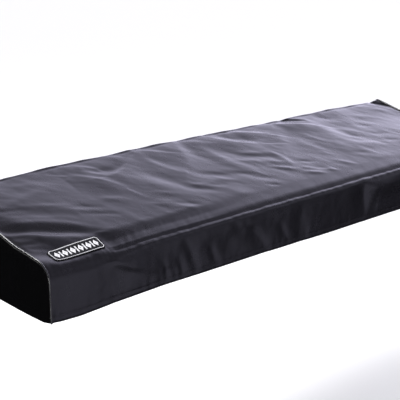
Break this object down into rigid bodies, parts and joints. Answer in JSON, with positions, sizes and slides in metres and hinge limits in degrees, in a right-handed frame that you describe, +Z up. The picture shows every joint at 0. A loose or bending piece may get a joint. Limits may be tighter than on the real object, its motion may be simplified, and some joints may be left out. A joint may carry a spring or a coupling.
{
  "type": "fitted padded keyboard dust cover",
  "caption": "Long fitted cover of padded black nylon, wedge-shaped and open underneath, with piped end seams and a small plain patch.",
  "frame": {"origin": "under the middle of the top, where the keyboard inside carries the cover", "axes": "+X along the cover's length, to the right seen from the front; +Y to the back; +Z up"},
  "size_m": [1.4262, 0.3596, 0.186],
  "materials": {
    "padded_nylon": "semi-gloss woven nylon over thin padding",
    "end_nylon": "woven nylon",
    "welt_satin": "glossy satin welt",
    "badge_cloth": "woven patch with a pale sewn outline"
  },
  "bodies": {
    "root": {"wrap_panel": "padded_nylon", "end_panel_left": "end_nylon", "end_panel_right": "end_nylon", "piping_left": "welt_satin", "piping_right": "welt_satin", "badge_patch": "badge_cloth"}
  },
  "joints": []
}
